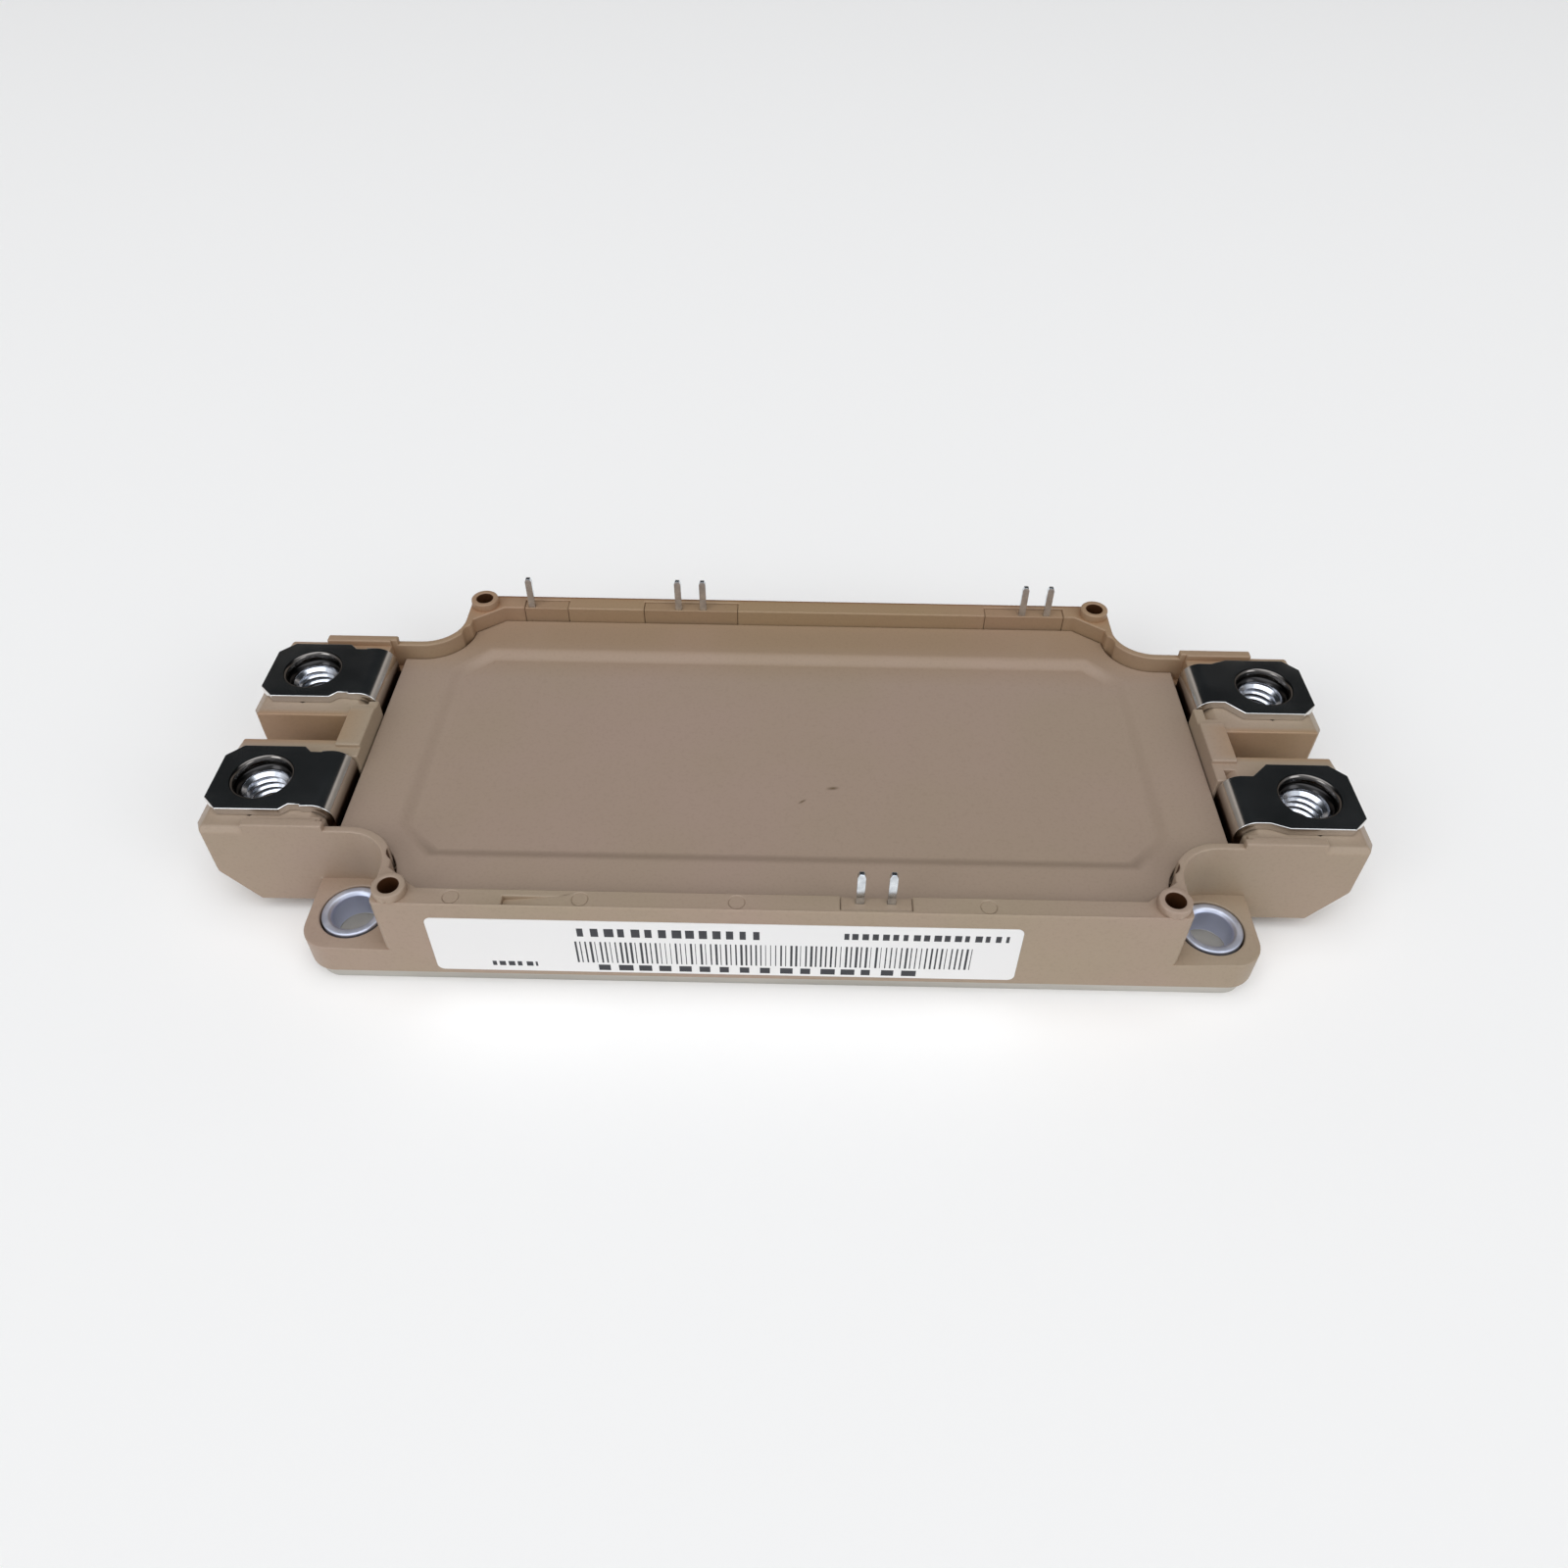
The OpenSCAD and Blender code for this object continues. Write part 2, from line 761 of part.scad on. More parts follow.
// Place of a pin along the module
function pin_x(place) = (place[0] + 0.5) * pin_grid;

// Stamped pin for the back row: tapered tip, upright blade, and a foot towards the circuit
module pin_shape(place) {
  x = pin_x(place);
  half_w = pin_w / 2;
  half_tip = pin_w * pin_tip_w / 2;
  on_wall(place[1]) {
    along_y(pin_y - pin_t / 2, pin_y + pin_t / 2)
      polygon([
        [x - half_w, shelf_z], [x + half_w, shelf_z], [x + half_w, pin_z - pin_tip],
        [x + half_tip, pin_z], [x - half_tip, pin_z], [x - half_w, pin_z - pin_tip]
      ]);
    translate([x - half_w, pin_foot_y, shelf_z])
      cube([pin_w, pin_y - pin_foot_y, pin_t]);
  }
}

module pin(place) { color("#c9c9c6") pin_shape(place); }

module gate_pin_front() { pin(gate_front); }
module emitter_pin_front() { pin(emitter_front); }
module collector_pin() { pin(collector); }
module gate_pin_back() { pin(gate_back); }
module emitter_pin_back() { pin(emitter_back); }
module sensor_pin_inner() { pin(sensor_inner); }
module sensor_pin_outer() { pin(sensor_outer); }

// Plastic carrier moulded round its pins, which slides into the long wall from above
module pin_carrier(carrier) {
  panel_y = open_y + carrier_recess;
  color("#8f7a66")
    difference() {
      on_wall(carrier[2])
        along_x(carrier[0], carrier[1])
          polygon([
            [toe_y, carrier_z], [carrier_out_y, carrier_z], [carrier_out_y, carrier_top_z],
            [panel_y, carrier_top_z], [panel_y, lid_seat_z], [cavity_y, lid_seat_z],
            [cavity_y, shelf_z], [toe_y, shelf_z]
          ]);
      for (p = PINS)
        pin_shape(p);
    }
}

module pin_carrier_front() { pin_carrier(carrier_front); }
module pin_carrier_back_left() { pin_carrier(carrier_back_left); }
module pin_carrier_back_middle() { pin_carrier(carrier_back_middle); }
module pin_carrier_back_right() { pin_carrier(carrier_back_right); }

// Paper label on the front wall
module rating_label() {
  color("#ecebee")
    translate([label_x, -body_y, label_z + label_h / 2])
      rotate([90, 0, 0])
        linear_extrude(label_t)
          rounded_plan(label_l, label_h, label_r);
}

// Places a circuit drawn about its own middle: the left one with its control strip at the back,
// the right one turned half round, with its control strip at the front
module left_circuit() { translate([-substrate_x, 0, 0]) children(); }
module right_circuit() { translate([substrate_x, 0, 0]) rotate(180) children(); }

// Ceramic plate, bonded to copper on both faces
module substrate() {
  color("#e8e6df")
    between(ceramic_z, copper_top_z)
      square([substrate_l, substrate_w], center = true);
}

module substrate_left() { left_circuit() substrate(); }
module substrate_right() { right_circuit() substrate(); }

// Copper field between two places in X and two in Y
module copper_field(x0, x1, y0, y1) {
  translate([x0, y0, copper_top_z])
    cube([x1 - x0, y1 - y0, copper_t]);
}

// Copper of one circuit: solder face below, emitter and collector fields and control strip above.
// The control strip is parted at the given places.
module copper(strip_parts, emitter_end) {
  ends = concat([-pad_x - pad_split / 2], strip_parts, [pad_x + pad_split / 2]);
  between(base_t, ceramic_z)
    square([2 * pad_x, 2 * pad_y], center = true);
  copper_field(emitter_end, pad_x, -pad_y, emitter_high_y);
  copper_field(-pad_x, pad_x, collector_low_y, collector_high_y);
  for (i = [0 : len(ends) - 2])
    copper_field(ends[i] + pad_split / 2, ends[i + 1] - pad_split / 2, control_low_y, pad_y);
}

// Place between two neighbouring pins on the grid
function between_pins(place) = (place[0] + 1) * pin_grid;

module copper_left() {
  color("#c8834f")
    left_circuit()
      copper([
        between_pins(collector) + substrate_x, between_pins(gate_back) + substrate_x
      ], -pad_x);
}

// The right circuit's emitter field ends early and leaves room for two sensor fields
module copper_right() {
  color("#c8834f")
    right_circuit() {
      copper([substrate_x - between_pins(gate_front)], 2 * (sensor_pad_l + pad_split) - pad_x);
      for (i = [0, 1])
        translate([i * (sensor_pad_l + pad_split), 0, 0])
          copper_field(-pad_x, sensor_pad_l - pad_x, -pad_y, sensor_pad_w - pad_y);
    }
}

// One row of chips on a circuit
module chip_row(side, y) {
  for (column = [-1, 0, 1])
    translate([column * chip_pitch - side / 2, y - side / 2, chip_z])
      cube([side, side, chip_t]);
}

module transistor_chips() {
  color("#4c5058") {
    left_circuit() chip_row(transistor_w, transistor_y);
    right_circuit() chip_row(transistor_w, transistor_y);
  }
}

module diode_chips() {
  color("#5a5e66") {
    left_circuit() chip_row(diode_w, diode_y);
    right_circuit() chip_row(diode_w, diode_y);
  }
}

// Thermistor chip that bridges the two sensor fields
module temperature_sensor() {
  color("#3a3a3a")
    right_circuit()
      translate([sensor_pad_l + pad_split / 2 - pad_x, sensor_pad_w / 2 - pad_y, chip_z])
        translate([-sensor_size.x / 2, -sensor_size.y / 2, 0])
          cube(sensor_size);
}

// Half-round wire from a bond at y0, z0 down to one at y1, z1, where y0 and z0 are the larger
module bond_arch(x, y0, z0, y1, z1) {
  arch_r = (y0 - y1) / 2;
  translate([x, y1 + arch_r, z0]) {
    rotate([90, 0, 90])
      rotate_extrude(angle = 180)
        translate([arch_r, 0])
          circle(d = wire_d, $fn = 24);
    if (z0 > z1)
      translate([0, -arch_r, z1 - z0])
        cylinder(h = z0 - z1, d = wire_d, $fn = 24);
  }
}

// Wires of one circuit: from transistor to diode, and from diode to emitter field
module chip_wires() {
  emitter_y = emitter_high_y - emitter_bond;
  for (column = [-1, 0, 1], strand = [-1, 1]) {
    x = column * chip_pitch + strand * wire_pitch / 2;
    bond_arch(x, transistor_y, chip_top_z, diode_y + diode_bond, chip_top_z);
    bond_arch(x, diode_y - diode_bond, chip_top_z, emitter_y, chip_z);
  }
}

// Aluminium wires: along the chips, from the terminals' feet, and from the pins' feet
module bond_wires() {
  foot_bond_x = foot_x + foot_bond;
  field_bond_x = substrate_x + pad_x - field_bond;
  pin_bond_y = pin_foot_y + foot_bond;
  strip_bond_y = pad_y - control_pad_w / 2;
  color("#d5d7da") {
    left_circuit() chip_wires();
    right_circuit() chip_wires();
    each_corner()
      for (strand = [-1, 0, 1])
        translate([0, terminal_y + strand * wire_pitch, 0])
          rotate(-90)
            bond_arch(0, foot_bond_x, shelf_z + terminal_t, field_bond_x, chip_z);
    for (p = PINS)
      on_wall(p[1])
        bond_arch(pin_x(p), pin_bond_y, shelf_z + pin_t, strip_bond_y, chip_z);
  }
}

// Clear soft gel poured over the circuit
module silicone_gel() {
  color("#d9dde0", 0.5)
    difference() {
      circuit_room(gel_z);
      substrate_left();
      substrate_right();
      copper_left();
      copper_right();
      transistor_chips();
      diode_chips();
      temperature_sensor();
      bond_wires();
      supply_terminal_front();
      supply_terminal_back();
      output_terminal_front();
      output_terminal_back();
      for (c = CARRIERS)
        on_wall(c[2])
          along_x(c[0], c[1])
            translate([toe_y, carrier_z])
              square([carrier_toe + past, shelf_z - carrier_z]);
      for (p = PINS)
        pin_shape(p);
    }
}

base_plate();
housing_frame();
lid();
supply_terminal_front();
supply_terminal_back();
output_terminal_front();
output_terminal_back();
terminal_nuts();
collar_front_left();
collar_front_right();
collar_back_left();
collar_back_right();
pin_carrier_front();
pin_carrier_back_left();
pin_carrier_back_middle();
pin_carrier_back_right();
gate_pin_front();
emitter_pin_front();
collector_pin();
gate_pin_back();
emitter_pin_back();
sensor_pin_inner();
sensor_pin_outer();
rating_label();
substrate_left();
substrate_right();
copper_left();
copper_right();
transistor_chips();
diode_chips();
temperature_sensor();
bond_wires();
silicone_gel();
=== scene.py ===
"""A dual transistor power module on a pale studio floor, dressed in the order of its assembly."""
import json
import math

import bmesh
import bpy
from mathutils import Matrix, Vector


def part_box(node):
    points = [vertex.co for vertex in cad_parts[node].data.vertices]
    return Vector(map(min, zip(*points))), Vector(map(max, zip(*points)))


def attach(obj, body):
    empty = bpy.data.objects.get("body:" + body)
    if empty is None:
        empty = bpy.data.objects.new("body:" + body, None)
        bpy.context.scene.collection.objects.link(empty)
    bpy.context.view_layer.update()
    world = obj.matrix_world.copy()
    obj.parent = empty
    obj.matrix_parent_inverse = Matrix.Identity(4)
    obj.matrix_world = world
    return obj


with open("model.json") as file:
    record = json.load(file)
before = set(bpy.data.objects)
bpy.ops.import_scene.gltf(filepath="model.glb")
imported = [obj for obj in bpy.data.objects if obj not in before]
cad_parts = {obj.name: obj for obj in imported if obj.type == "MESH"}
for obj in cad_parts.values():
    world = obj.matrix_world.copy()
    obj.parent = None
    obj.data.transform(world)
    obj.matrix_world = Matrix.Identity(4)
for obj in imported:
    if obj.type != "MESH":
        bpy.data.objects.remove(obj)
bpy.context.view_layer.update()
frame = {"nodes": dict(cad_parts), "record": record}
nodes = frame["nodes"]


# Base plate: a flat sheet of copper, nickel plated to a satin grey, with four punched screw holes.
# The circuit is soldered on top of it, and its lower face presses on the heat sink.
MM = 0.001
BASE_LIGHT = (0.60, 0.58, 0.54, 1.0)
BASE_DARK = (0.47, 0.45, 0.41, 1.0)
BASE_EDGE = 0.15 * MM


def start_finish(name, metallic, roughness):
    """A new finish: returns the material, its node tree and its main shader."""
    material = bpy.data.materials.new(name)
    material.use_nodes = True
    tree = material.node_tree
    shader = tree.nodes["Principled BSDF"]
    shader.inputs["Metallic"].default_value = metallic
    shader.inputs["Roughness"].default_value = roughness
    return material, tree, shader


def cloud(tree, scale, detail, stretch=(1, 1, 1)):
    """Soft noise over the piece, its scale in features a metre; returns the value's socket."""
    place = tree.nodes.new("ShaderNodeTexCoord")
    drawn = tree.nodes.new("ShaderNodeMapping")
    drawn.inputs["Scale"].default_value = stretch
    noise = tree.nodes.new("ShaderNodeTexNoise")
    noise.inputs["Scale"].default_value = scale
    noise.inputs["Detail"].default_value = detail
    tree.links.new(place.outputs["Object"], drawn.inputs["Vector"])
    tree.links.new(drawn.outputs["Vector"], noise.inputs["Vector"])
    return noise.outputs["Fac"]


def tones(tree, factor, low, high, start=0.35, end=0.65):
    """Two tones blended by a factor between start and end; returns the colour's socket."""
    ramp = tree.nodes.new("ShaderNodeValToRGB")
    ramp.color_ramp.elements[0].position = start
    ramp.color_ramp.elements[0].color = low
    ramp.color_ramp.elements[1].position = end
    ramp.color_ramp.elements[1].color = high
    tree.links.new(factor, ramp.inputs["Fac"])
    return ramp.outputs["Color"]


def spread(tree, factor, low, high, start=0.0, end=1.0):
    """A factor between start and end spread over a range; returns the value's socket."""
    reach = tree.nodes.new("ShaderNodeMapRange")
    reach.inputs["From Min"].default_value = start
    reach.inputs["From Max"].default_value = end
    reach.inputs["To Min"].default_value = low
    reach.inputs["To Max"].default_value = high
    tree.links.new(factor, reach.inputs["Value"])
    return reach.outputs["Result"]


def grain(tree, shader, factor, strength, depth):
    """Fine relief on a finish, from a factor and a depth in metres."""
    bump = tree.nodes.new("ShaderNodeBump")
    bump.inputs["Strength"].default_value = strength
    bump.inputs["Distance"].default_value = depth
    tree.links.new(factor, bump.inputs["Height"])
    tree.links.new(bump.outputs["Normal"], shader.inputs["Normal"])


# Edges that turn more than this count as steep
SHARP_FROM = math.radians(40)
ROUND_WEIGHT = "bevel_weight_edge"
WELD_REACH = 0.001 * MM


def edge_steps(name, angle_kind):
    """Geometry nodes that pick the steep edges; returns the tree, its two ends and the choice."""
    group = bpy.data.node_groups.new(name, "GeometryNodeTree")
    group.interface.new_socket("Geometry", in_out="INPUT", socket_type="NodeSocketGeometry")
    group.interface.new_socket("Geometry", in_out="OUTPUT", socket_type="NodeSocketGeometry")
    come = group.nodes.new("NodeGroupInput").outputs["Geometry"]
    leave = group.nodes.new("NodeGroupOutput").inputs["Geometry"]
    turn = group.nodes.new("GeometryNodeInputMeshEdgeAngle")
    steep = group.nodes.new("FunctionNodeCompare")
    steep.operation = "GREATER_THAN"
    steep.inputs["B"].default_value = SHARP_FROM
    group.links.new(turn.outputs[angle_kind], steep.inputs["A"])
    return group, come, leave, steep.outputs["Result"]


def smooth_faces():
    """Smooth shading that keeps only the steep edges sharp."""
    group, come, leave, steep = edge_steps("smooth_faces", "Unsigned Angle")
    shade = group.nodes.new("GeometryNodeSetMeshNormal")
    shade.mode = "SHARPNESS"
    shade.inputs["Remove Custom"].default_value = True
    shade.inputs["Face Sharpness"].default_value = False
    group.links.new(steep, shade.inputs["Edge Sharpness"])
    group.links.new(come, shade.inputs["Mesh"])
    group.links.new(shade.outputs["Mesh"], leave)
    return group


def outward_edges():
    """Marks the steep outward edges, which wear and tooling round off, and no inward corner."""
    group, come, leave, steep = edge_steps("outward_edges", "Signed Angle")
    mark = group.nodes.new("GeometryNodeStoreNamedAttribute")
    mark.data_type = "FLOAT"
    mark.domain = "EDGE"
    mark.inputs["Name"].default_value = ROUND_WEIGHT
    group.links.new(steep, mark.inputs["Value"])
    group.links.new(come, mark.inputs["Geometry"])
    group.links.new(mark.outputs["Geometry"], leave)
    return group


SMOOTH_FACES = smooth_faces()
OUTWARD_EDGES = outward_edges()


def soften(piece, width, segments=3):
    """Rounds a piece's outward edges and shades it smoothly."""
    weld = piece.modifiers.new("joined", "WELD")
    weld.merge_threshold = WELD_REACH
    piece.modifiers.new("outward_edges", "NODES").node_group = OUTWARD_EDGES
    bevel = piece.modifiers.new("edges", "BEVEL")
    bevel.width = width
    bevel.segments = segments
    bevel.limit_method = "WEIGHT"
    bevel.edge_weight = ROUND_WEIGHT
    bevel.use_clamp_overlap = False
    bevel.loop_slide = False
    piece.modifiers.new("shading", "NODES").node_group = SMOOTH_FACES
    even = piece.modifiers.new("even_faces", "WEIGHTED_NORMAL")
    even.mode = "FACE_AREA_WITH_ANGLE"
    even.keep_sharp = True


def dress(piece, material):
    """Gives a piece one finish."""
    piece.data.materials.clear()
    piece.data.materials.append(material)


def satin_nickel():
    """Dull nickel with long faint streaks and a fine grain."""
    material, tree, shader = start_finish("satin_nickel", metallic=1.0, roughness=0.35)
    streak = cloud(tree, scale=90, detail=6, stretch=(0.25, 1, 1))
    tree.links.new(tones(tree, streak, BASE_DARK, BASE_LIGHT), shader.inputs["Base Color"])
    tree.links.new(spread(tree, streak, low=0.28, high=0.45), shader.inputs["Roughness"])
    grain(tree, shader, cloud(tree, scale=3000, detail=3), strength=0.15, depth=0.01 * MM)
    return material


base_plate = nodes["base_plate"]
dress(base_plate, satin_nickel())
soften(base_plate, BASE_EDGE)


# Circuit: two white ceramic plates with copper on both faces, soldered to the base plate, then
# chips of silicon, a thermistor and aluminium bond wires, all under a clear soft gel.
CERAMIC_WHITE = (0.80, 0.79, 0.74, 1.0)
CERAMIC_SHADE = (0.72, 0.70, 0.65, 1.0)
COPPER_BRIGHT = (0.80, 0.44, 0.27, 1.0)
COPPER_DULL = (0.58, 0.29, 0.17, 1.0)
SILICON_GREY = (0.075, 0.080, 0.095, 1.0)
SILICON_BLUE = (0.050, 0.055, 0.080, 1.0)
WIRE_BRIGHT = (0.80, 0.81, 0.82, 1.0)
WIRE_DULL = (0.66, 0.67, 0.68, 1.0)
GEL_CLEAR = (0.93, 0.95, 0.95, 1.0)
GEL_INDEX = 1.41
# How far the roughness of a mottled finish falls and rises from its mean
SMOOTHER = 0.8
ROUGHER = 1.25


def two_tone(name, low, high, metallic, roughness, scale):
    """A finish of two close tones, mottled at the given scale."""
    material, tree, shader = start_finish(name, metallic, roughness)
    mottle = cloud(tree, scale, detail=5)
    rough = spread(tree, mottle, roughness * SMOOTHER, roughness * ROUGHER)
    tree.links.new(tones(tree, mottle, low, high), shader.inputs["Base Color"])
    tree.links.new(rough, shader.inputs["Roughness"])
    return material


fired_ceramic = two_tone(
    "fired_ceramic", CERAMIC_SHADE, CERAMIC_WHITE, metallic=0.0, roughness=0.5, scale=250)
bare_copper = two_tone(
    "bare_copper", COPPER_DULL, COPPER_BRIGHT, metallic=1.0, roughness=0.3, scale=120)
silicon = two_tone(
    "silicon", SILICON_BLUE, SILICON_GREY, metallic=0.4, roughness=0.18, scale=200)
drawn_wire = two_tone(
    "drawn_wire", WIRE_DULL, WIRE_BRIGHT, metallic=1.0, roughness=0.25, scale=400)
for name in ("substrate_left", "substrate_right"):
    dress(nodes[name], fired_ceramic)
for name in ("copper_left", "copper_right"):
    dress(nodes[name], bare_copper)
for name in ("transistor_chips", "diode_chips", "temperature_sensor"):
    dress(nodes[name], silicon)
dress(nodes["bond_wires"], drawn_wire)


def clear_gel():
    """Soft clear silicone with a slightly uneven surface."""
    material, tree, shader = start_finish("clear_gel", metallic=0.0, roughness=0.12)
    shader.inputs["Base Color"].default_value = GEL_CLEAR
    shader.inputs["Transmission Weight"].default_value = 1.0
    shader.inputs["IOR"].default_value = GEL_INDEX
    grain(tree, shader, cloud(tree, scale=60, detail=1), strength=0.1, depth=0.2 * MM)
    return material


dress(nodes["silicone_gel"], clear_gel())


# Housing frame: one injection moulding of tan glass-filled plastic, glued round the base plate.
# Its walls are smooth with a faint grain, and its edges are slightly rounded by the mould.
PLASTIC_WARM = (0.351, 0.250, 0.185, 1.0)
PLASTIC_OLIVE = (0.335, 0.254, 0.172, 1.0)
PLASTIC_GLOSS = 0.42
FLECK_DARK = (0.80, 0.79, 0.78, 1.0)
FLECK_LIGHT = (1.0, 1.0, 1.0, 1.0)
FLECK_STRENGTH = 0.35
# Painted shade in the hollows, a brown tint standing in for their shade: how near their walls stand,
# how many rays feel for them, and its strength at the front and at the back
HOLLOW_SHADE_TINT = (0.92, 0.60, 0.34, 1.0)
HOLLOW_REACH = 4.5 * MM
HOLLOW_RAYS = 6
HOLLOW_SHADE_FRONT = 0.3
HOLLOW_SHADE_BACK = 0.8
# Painted shade in the gap between two terminal blocks, and where it begins and is full
GAP_SHADE_TINT = (0.97, 0.82, 0.66, 1.0)
GAP_FROM_X = 58 * MM
GAP_TO_X = 63 * MM
GAP_FROM_Y = 3.6 * MM
GAP_TO_Y = 2.7 * MM
# Painted warm shade on the plastic towards the back wall, and where it begins and is full
BACK_SHADE_TINT = (0.94, 0.83, 0.67, 1.0)
WARM_FROM_Y = 6 * MM
WARM_TO_Y = 23 * MM
# Painted shade inside the board screws' holes, and its margin round them
HOLE_SHADE_TINT = (0.060, 0.021, 0.006, 1.0)
HOLE_MARGIN = 0.03 * MM
# Upright grooves in the curved walls: radius, place seen from the mounting screw, and radius of
# the painted shade at their bottom
GROOVE_R = 1.7 * MM
GROOVE_REACH = 7.8 * MM
GROOVE_TURN = math.radians(201)
GROOVE_SHADE_R = 0.75 * MM
MOULD_EDGE = 0.22 * MM


def feed(tree, socket, value):
    """Sets a socket to a number or a colour, or links it to the socket that gives its value."""
    if isinstance(value, bpy.types.NodeSocket):
        tree.links.new(value, socket)
    else:
        socket.default_value = value


def blend(tree, factor, first, second, kind="MIX"):
    """Two colours blended by a factor, each a value or a socket; returns the colour's socket."""
    mix = tree.nodes.new("ShaderNodeMix")
    mix.data_type = "RGBA"
    mix.blend_type = kind
    feed(tree, mix.inputs["Factor"], factor)
    feed(tree, mix.inputs["A"], first)
    feed(tree, mix.inputs["B"], second)
    return mix.outputs["Result"]


def moulded_plastic(name, warm, olive):
    """Tan plastic with slow drifts of tint, fine dark flecks of filler and a faint grain.

    Returns the material, its node tree, its main shader and its colour, which is linked later.
    """
    material, tree, shader = start_finish(name, metallic=0.0, roughness=0.46)
    shader.inputs["Specular IOR Level"].default_value = PLASTIC_GLOSS
    rough = spread(tree, cloud(tree, scale=150, detail=4), low=0.40, high=0.54)
    tree.links.new(rough, shader.inputs["Roughness"])
    grain(tree, shader, cloud(tree, scale=3500, detail=4), strength=0.25, depth=0.012 * MM)
    drift = tones(tree, cloud(tree, scale=45, detail=2), warm, olive)
    speck = cloud(tree, scale=2600, detail=4)
    fleck = tones(tree, speck, FLECK_DARK, FLECK_LIGHT, start=0.28, end=0.5)
    return material, tree, shader, blend(tree, FLECK_STRENGTH, drift, fleck, "MULTIPLY")


def arithmetic(tree, operation, first, second=0.0):
    """One sum on one or two values, each a number or a socket; returns the result's socket."""
    node = tree.nodes.new("ShaderNodeMath")
    node.operation = operation
    feed(tree, node.inputs[0], first)
    feed(tree, node.inputs[1], second)
    return node.outputs["Value"]


def axis(tree, letter):
    """One coordinate of the points of the piece; returns the value's socket."""
    place = tree.nodes.new("ShaderNodeTexCoord")
    split = tree.nodes.new("ShaderNodeSeparateXYZ")
    tree.links.new(place.outputs["Object"], split.inputs["Vector"])
    return split.outputs[letter]


def from_middle(tree, letter):
    """Distance from the middle of the module along one axis; returns the value's socket."""
    return arithmetic(tree, "ABSOLUTE", axis(tree, letter))


def hole_mask(tree, spacing_x, spacing_y, radius):
    """1 inside four upright holes at the corners of a rectangle and 0 outside."""
    across = arithmetic(tree, "SUBTRACT", from_middle(tree, "X"), spacing_x / 2)
    along = arithmetic(tree, "SUBTRACT", from_middle(tree, "Y"), spacing_y / 2)
    squares = arithmetic(tree, "ADD", arithmetic(tree, "MULTIPLY", across, across),
                         arithmetic(tree, "MULTIPLY", along, along))
    return arithmetic(tree, "LESS_THAN", squares, radius * radius)


def mount_mask(tree, dims, margin):
    """1 inside the four holes of a mount, widened by a margin, and 0 outside."""
    return hole_mask(tree, dims["spacing_x_mm"] * MM, dims["spacing_y_mm"] * MM,
                     dims["hole_r_mm"] * MM + margin)


def fade(tree, value, start, end):
    """A factor that goes from 0 to 1 as a value goes from start to end; returns its socket."""
    return spread(tree, value, 0.0, 1.0, start, end)


def shade_in_hollows(tree, colour):
    """A colour with brown painted shade in the piece's own hollows, strongest at the back."""
    hollow = tree.nodes.new("ShaderNodeAmbientOcclusion")
    hollow.samples = HOLLOW_RAYS
    hollow.only_local = True
    hollow.inputs["Distance"].default_value = HOLLOW_REACH
    depth = spread(tree, hollow.outputs["AO"], low=1.0, high=0.0)
    strength = spread(tree, axis(tree, "Y"), HOLLOW_SHADE_FRONT, HOLLOW_SHADE_BACK, WARM_FROM_Y, WARM_TO_Y)
    painted_shade = arithmetic(tree, "MULTIPLY", depth, strength)
    return blend(tree, painted_shade, colour, HOLLOW_SHADE_TINT, "MULTIPLY")


def shade_in_gaps(tree, colour):
    """A colour with brown painted shade on the walls of the gaps between the terminal blocks."""
    outward = fade(tree, from_middle(tree, "X"), GAP_FROM_X, GAP_TO_X)
    inward = fade(tree, from_middle(tree, "Y"), GAP_FROM_Y, GAP_TO_Y)
    painted_shade = arithmetic(tree, "MULTIPLY", outward, inward)
    return blend(tree, painted_shade, colour, GAP_SHADE_TINT, "MULTIPLY")


def warm_shade_at_back(tree, colour):
    """A colour with warm painted shade towards the back wall."""
    warmth = fade(tree, axis(tree, "Y"), WARM_FROM_Y, WARM_TO_Y)
    return blend(tree, warmth, colour, BACK_SHADE_TINT, "MULTIPLY")


record_mounts = {mount["name"]: mount for mount in frame["record"]["mounts"]}
board_screws = record_mounts["board_screws"]["dims"]
sink_screws = record_mounts["heat_sink_screws"]["dims"]


def shade_in_grooves(tree, colour):
    """A colour with painted shade at the bottom of the two front grooves."""
    shade_mask = arithmetic(tree, "LESS_THAN", axis(tree, "Y"), 0.0)
    groove = (GROOVE_REACH, GROOVE_R + HOLE_MARGIN)
    bottom = (GROOVE_REACH - GROOVE_R, GROOVE_SHADE_R)
    for reach, radius in (groove, bottom):
        spacing_x = sink_screws["spacing_x_mm"] * MM + 2 * reach * math.cos(GROOVE_TURN)
        spacing_y = sink_screws["spacing_y_mm"] * MM + 2 * reach * math.sin(GROOVE_TURN)
        round_bore = hole_mask(tree, spacing_x, spacing_y, radius)
        shade_mask = arithmetic(tree, "MULTIPLY", shade_mask, round_bore)
    return blend(tree, shade_mask, colour, HOLE_SHADE_TINT)


frame_plastic, frame_tree, frame_shader, frame_colour = moulded_plastic(
    "frame_plastic", PLASTIC_WARM, PLASTIC_OLIVE)
# Painted shade: warmer towards the back, browner in the hollows and gaps, dark in the board screws'
# holes and at the bottom of the front grooves
frame_colour = warm_shade_at_back(frame_tree, frame_colour)
frame_colour = shade_in_hollows(frame_tree, frame_colour)
frame_colour = shade_in_gaps(frame_tree, frame_colour)
board_holes = mount_mask(frame_tree, board_screws, HOLE_MARGIN)
frame_colour = blend(frame_tree, board_holes, frame_colour, HOLE_SHADE_TINT)
frame_colour = shade_in_grooves(frame_tree, frame_colour)
frame_tree.links.new(frame_colour, frame_shader.inputs["Base Color"])
housing = nodes["housing_frame"]
dress(housing, frame_plastic)
soften(housing, MOULD_EDGE)


